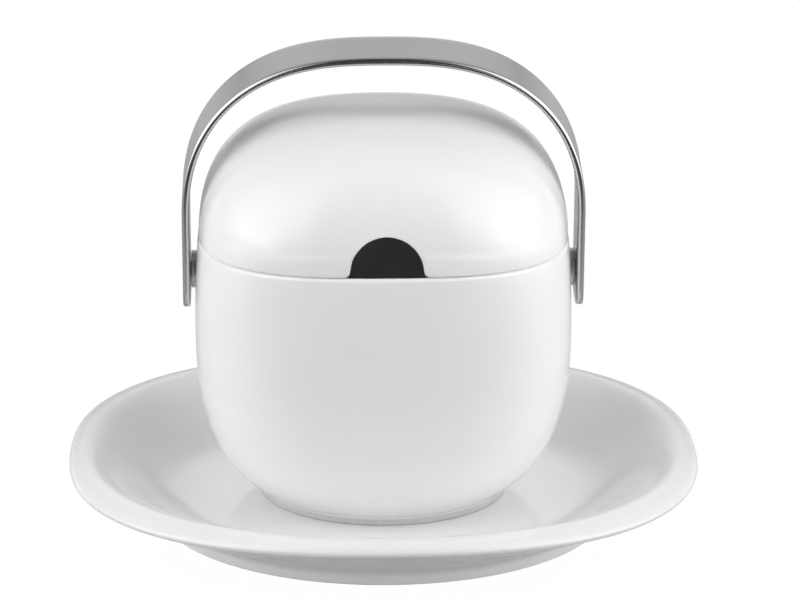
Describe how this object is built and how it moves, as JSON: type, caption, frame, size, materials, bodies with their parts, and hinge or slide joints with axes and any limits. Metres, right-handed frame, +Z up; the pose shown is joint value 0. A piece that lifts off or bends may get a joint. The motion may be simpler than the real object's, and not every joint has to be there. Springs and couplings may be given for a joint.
{
  "type": "covered gravy boat on saucer",
  "caption": "White glazed rounded-square gravy pot with a domed lid notched for a ladle, a swinging satin steel strap handle on side pivots, and a loose saucer under it.",
  "frame": {"origin": "on the table plane, under the middle of the saucer", "axes": "+Z up, -Y to the front where the lid has its ladle notch, +X to the right along the handle's pivot line"},
  "size_m": [0.19, 0.19, 0.1484],
  "materials": {
    "porcelain": "gloss white glaze",
    "satin_steel": "satin brushed along the strap",
    "dark_bush": "turned satin, in the shade of the strap"
  },
  "bodies": {
    "saucer": {"saucer": "porcelain"},
    "pot": {"pot_body": "porcelain", "left_bushing": "dark_bush", "right_bushing": "dark_bush"},
    "lid": {"lid": "porcelain"},
    "handle": {"handle_strap": "satin_steel", "left_pivot_pin": "satin_steel", "right_pivot_pin": "satin_steel"}
  },
  "joints": [
    {"name": "pot_lift", "type": "slide", "parent": "saucer", "child": "pot", "axis": [0, 0, 1], "range_m": [0, 0.06]},
    {"name": "lid_lift", "type": "slide", "parent": "pot", "child": "lid", "axis": [0, 0, 1], "range_m": [0, 0.01]},
    {"name": "handle_swing", "type": "hinge", "parent": "pot", "child": "handle", "pos_m": [0, 0, 0.0767], "axis": [1, 0, 0], "range_deg": [-121, 105]}
  ]
}
